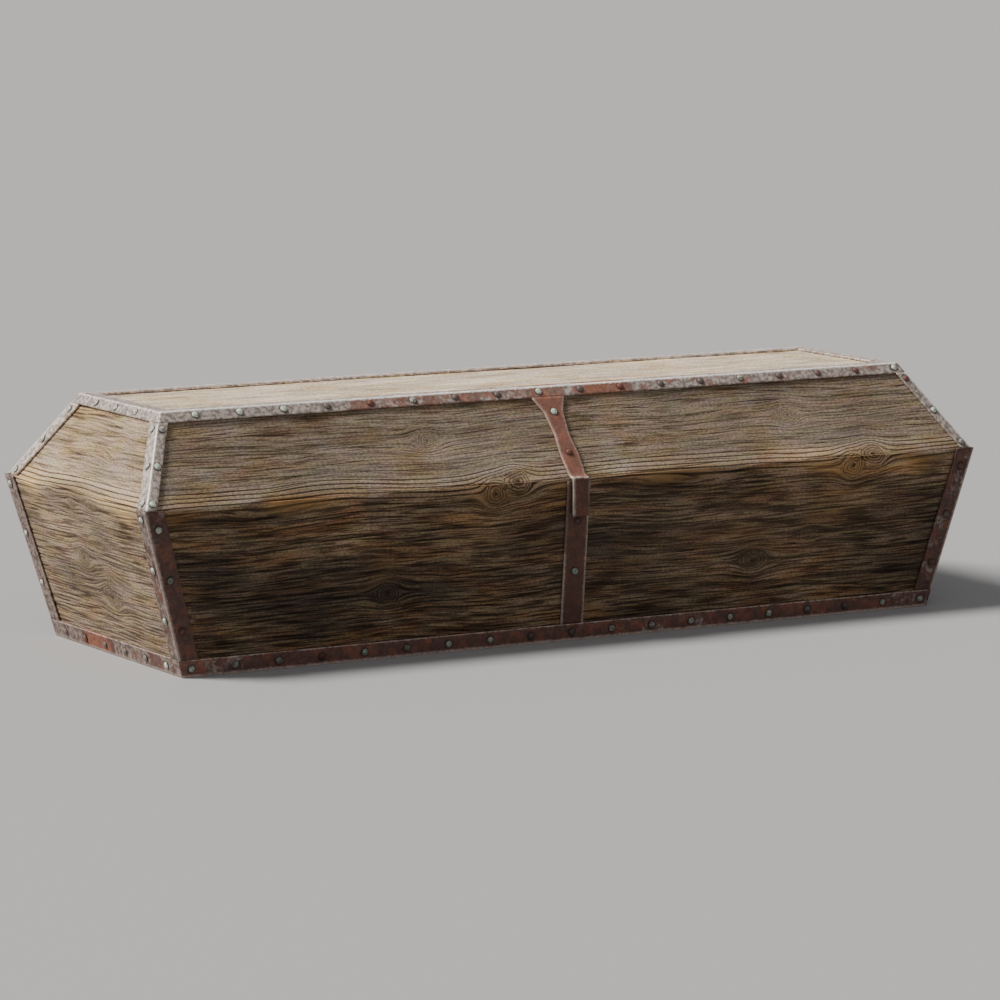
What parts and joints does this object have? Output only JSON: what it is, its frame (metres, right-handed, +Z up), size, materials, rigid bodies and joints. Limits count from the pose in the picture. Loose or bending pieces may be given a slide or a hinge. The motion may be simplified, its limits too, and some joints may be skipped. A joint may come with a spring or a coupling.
{
  "type": "iron-bound wooden coffin",
  "caption": "Chest-like wooden coffin with splayed walls and a hipped lift-off lid, edged with riveted angle irons, with a hasp strap hanging over the front rim.",
  "frame": {"origin": "middle of the underside, on the plane of the base rails", "axes": "+X along the coffin's length, the front with the hasp faces -Y, +Z up"},
  "size_m": [2.006, 0.6782, 0.525],
  "materials": {
    "lid_wood": "weathered bare wood, dusty and deeply grained",
    "box_wood": "weathered bare wood, dark and deeply grained",
    "lid_iron": "worn grey iron with rust patches",
    "box_iron": "dark rusted iron with worn pale edges",
    "strap_iron": "red-brown rusted iron"
  },
  "bodies": {
    "root": {"lid_top_board": "lid_wood", "lid_front_board": "lid_wood", "lid_back_board": "lid_wood", "lid_left_board": "lid_wood", "lid_right_board": "lid_wood", "box_bottom_board": "box_wood", "box_front_board": "box_wood", "box_back_board": "box_wood", "box_left_board": "box_wood", "box_right_board": "box_wood", "lid_front_rail": "lid_iron", "lid_back_rail": "lid_iron", "lid_left_rail": "lid_iron", "lid_right_rail": "lid_iron", "lid_hip_front_left": "lid_iron", "lid_hip_front_right": "lid_iron", "lid_hip_back_left": "lid_iron", "lid_hip_back_right": "lid_iron", "base_front_rail": "box_iron", "base_back_rail": "box_iron", "base_left_rail": "box_iron", "base_right_rail": "box_iron", "box_corner_front_left": "box_iron", "box_corner_front_right": "box_iron", "box_corner_back_left": "box_iron", "box_corner_back_right": "box_iron", "lid_hasp": "strap_iron", "box_strap": "strap_iron"}
  },
  "joints": []
}
